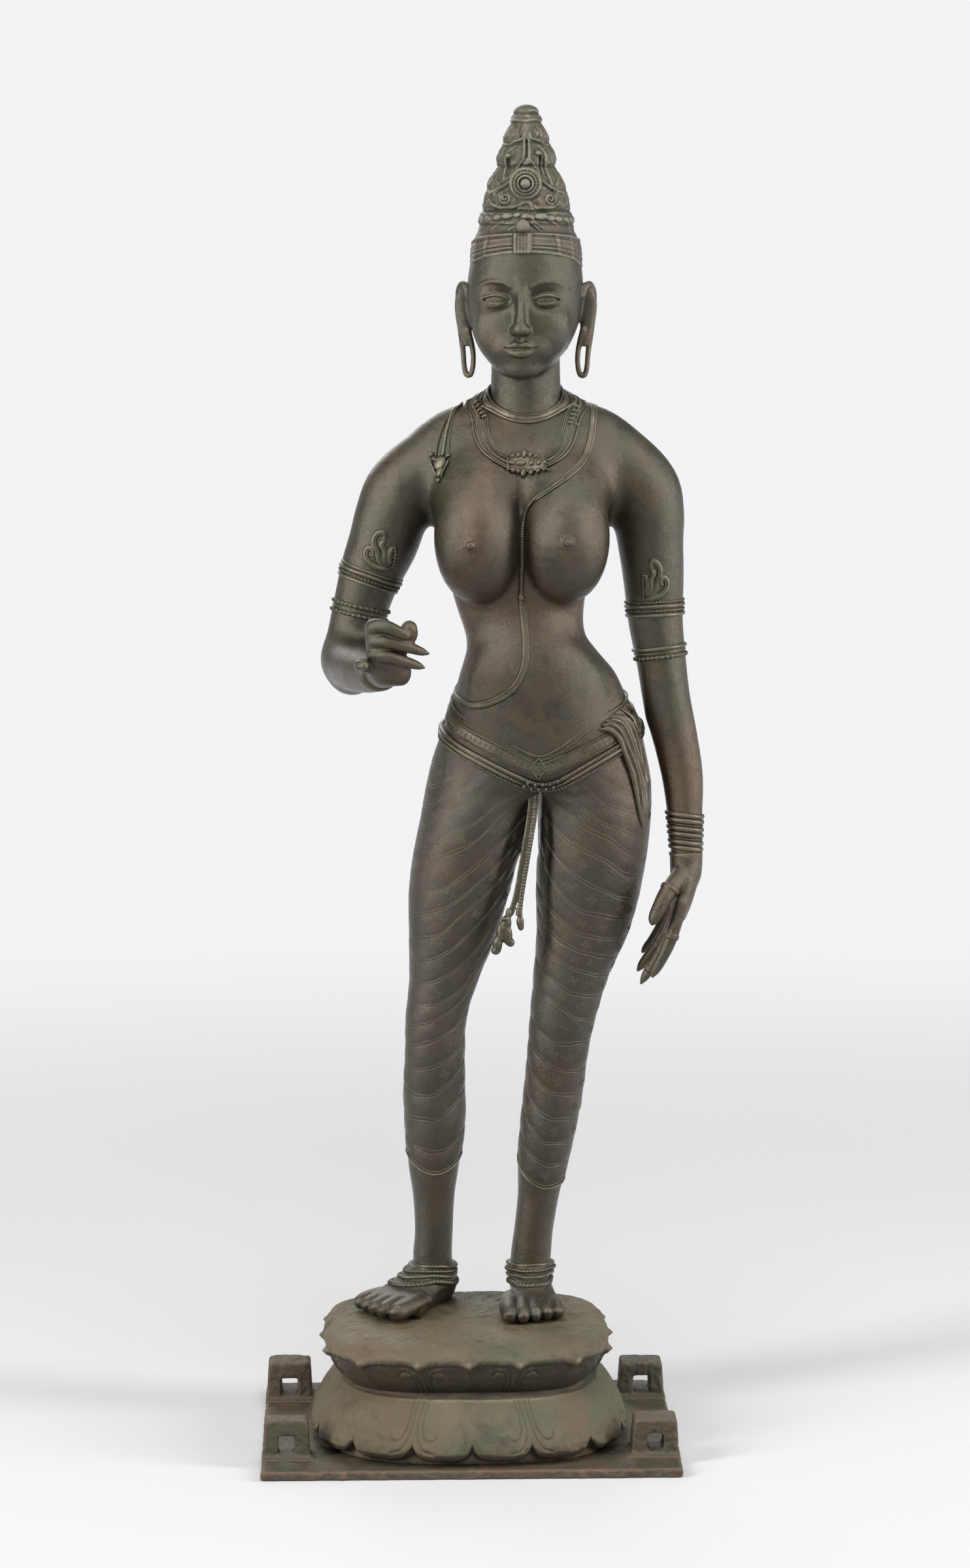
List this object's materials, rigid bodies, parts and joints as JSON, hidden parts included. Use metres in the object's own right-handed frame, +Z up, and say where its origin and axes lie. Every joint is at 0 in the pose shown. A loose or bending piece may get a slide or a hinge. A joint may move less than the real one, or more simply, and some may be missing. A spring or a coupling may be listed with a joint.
{
  "type": "parvati figure",
  "caption": "Cast bronze goddess standing in a swaying pose on a double lotus, set on a rectangular plate with pierced corner lugs.",
  "frame": {"origin": "centre of the plate's underside", "axes": "+Z up through the figure, the figure faces -Y, +X to the viewer's right as seen from its front"},
  "size_m": [0.3591, 0.257, 1.073],
  "materials": {
    "dark_bronze": "dark olive-brown bronze with a smooth worn sheen and green and reddish areas of patina",
    "green_bronze": "matte brown-green bronze patina, earthy in the recesses of the petals",
    "rough_bronze": "rough corroded bronze, reddish brown along its edges"
  },
  "bodies": {
    "root": {"figure": "dark_bronze", "lotus_pedestal": "green_bronze", "base_plate": "rough_bronze"}
  },
  "joints": []
}
